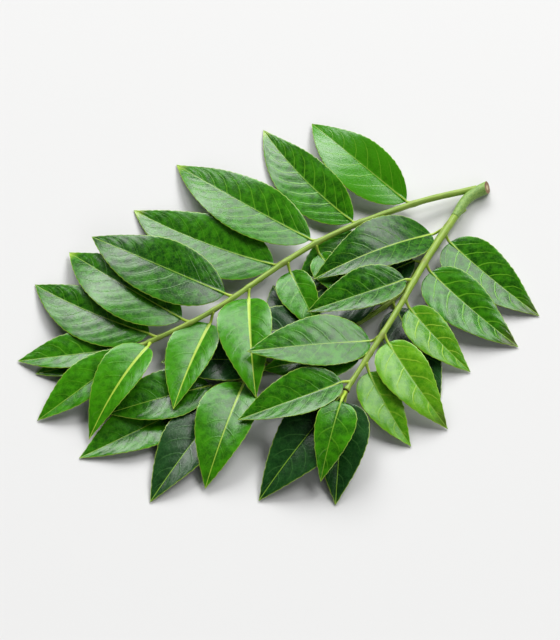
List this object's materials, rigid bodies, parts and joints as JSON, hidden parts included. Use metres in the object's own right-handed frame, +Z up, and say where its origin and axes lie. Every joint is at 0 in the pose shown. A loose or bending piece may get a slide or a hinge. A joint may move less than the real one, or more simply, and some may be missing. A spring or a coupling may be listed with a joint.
{
  "type": "curry leaf sprig",
  "caption": "Cut sprig of curry leaves lying flat: a short twig bearing pinnate leaves with folded, pointed, overlapping leaflets.",
  "frame": {"origin": "on the surface that the sprig lies on, under the middle of its bounding box", "axes": "+X along the sprig's length towards the cut end of the twig, +Y across it towards the back, +Z up from the surface"},
  "size_m": [0.1813, 0.1585, 0.015],
  "materials": {
    "mature_leaf": "waxy deep green leaf with a pale midrib, side veins and a thin pale margin",
    "young_leaf": "waxy bright yellow-green young leaf",
    "shaded_leaf": "waxy very dark green leaf",
    "rachis_green": "smooth light yellow-green stalk",
    "twig_bark": "young green bark with a brown cut end"
  },
  "bodies": {
    "root": {"twig": "twig_bark", "long_rachis": "rachis_green", "short_rachis": "rachis_green", "under_rachis": "rachis_green", "long_leaflet_01": "mature_leaf", "long_leaflet_02": "mature_leaf", "long_leaflet_03": "mature_leaf", "long_leaflet_04": "mature_leaf", "long_leaflet_05": "mature_leaf", "long_leaflet_06": "mature_leaf", "long_leaflet_07": "mature_leaf", "long_leaflet_08": "mature_leaf", "long_leaflet_09": "mature_leaf", "long_leaflet_10": "mature_leaf", "long_leaflet_11": "mature_leaf", "long_leaflet_12": "mature_leaf", "long_leaflet_13": "mature_leaf", "long_leaflet_14": "mature_leaf", "long_leaflet_15": "mature_leaf", "long_leaflet_16": "mature_leaf", "short_leaflet_01": "mature_leaf", "short_leaflet_02": "mature_leaf", "short_leaflet_03": "mature_leaf", "short_leaflet_04": "mature_leaf", "short_leaflet_05": "young_leaf", "short_leaflet_06": "young_leaf", "short_leaflet_07": "mature_leaf", "short_leaflet_08": "mature_leaf", "short_leaflet_09": "young_leaf", "short_leaflet_10": "mature_leaf", "short_leaflet_11": "shaded_leaf", "short_leaflet_12": "shaded_leaf", "short_leaflet_13": "mature_leaf", "under_leaflet_01": "shaded_leaf", "under_leaflet_02": "shaded_leaf", "under_leaflet_03": "shaded_leaf", "under_leaflet_04": "shaded_leaf", "under_leaflet_05": "shaded_leaf", "under_leaflet_06": "shaded_leaf", "under_leaflet_07": "mature_leaf", "under_leaflet_08": "mature_leaf", "under_leaflet_09": "shaded_leaf", "under_leaflet_10": "mature_leaf"}
  },
  "joints": []
}
